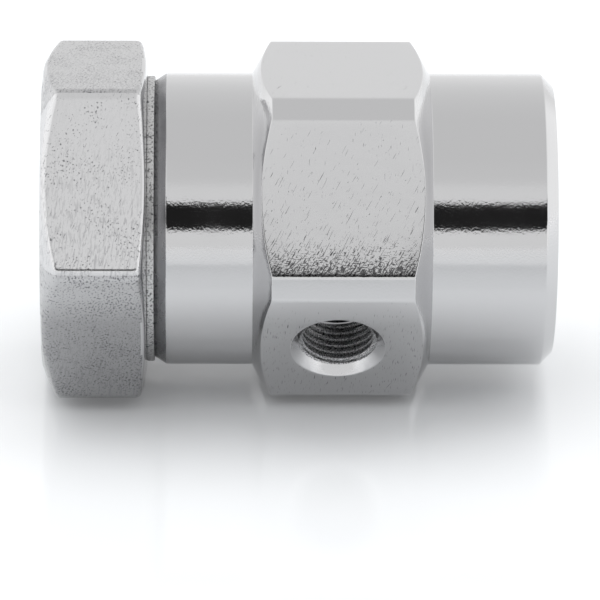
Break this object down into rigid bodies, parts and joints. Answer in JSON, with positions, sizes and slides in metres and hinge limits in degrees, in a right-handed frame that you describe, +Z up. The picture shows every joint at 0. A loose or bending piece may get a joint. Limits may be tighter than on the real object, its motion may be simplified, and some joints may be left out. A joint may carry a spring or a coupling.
{
  "type": "sight glass",
  "caption": "In-line sight glass: hexagon body with a female pipe socket, a threaded purge port in one flat, and a hexagon cap nut that clamps a round glass window.",
  "frame": {"origin": "on the sight axis where the pipe socket's thread begins, at the inner edge of the mouth's chamfer, 1.85 mm inside the mouth face", "axes": "+X along the sight axis out of the pipe socket's mouth, with the window at the negative end; +Z up with the body lying on a hexagon flat; -Y is the side of the purge port, which points 30 degrees below -Y"},
  "size_m": [0.0872, 0.0624, 0.0574],
  "materials": {
    "plated_body": "bright nickel plate on turned steel",
    "plated_nut": "satin nickel plate on tumbled steel",
    "joint_metal": "rough pressed soft metal",
    "borosilicate": "polished faces, ground edge",
    "gasket_sheet": "pressed fibre sheet",
    "ring_steel": "bright rolled strip"
  },
  "bodies": {
    "fitting": {"body": "plated_body", "joint_ring": "joint_metal", "seat_gasket": "gasket_sheet", "glass_disc": "borosilicate", "cushion_gasket": "gasket_sheet"},
    "nut_travel": {"slip_ring": "ring_steel"},
    "nut": {"cap_nut": "plated_nut"}
  },
  "joints": [
    {"name": "nut_unscrew_travel", "type": "slide", "parent": "fitting", "child": "nut_travel", "axis": [-1, 0, 0], "range_m": [0, 0.011]},
    {"name": "nut_unscrew", "type": "hinge", "parent": "nut_travel", "child": "nut", "pos_m": [-0.0763, 0, 0], "axis": [-1, 0, 0], "range_deg": [0, 1980]}
  ],
  "couplings": [
    {"joint": "nut_unscrew_travel", "follows": "nut_unscrew", "m_per_rad": 0.00031831}
  ]
}
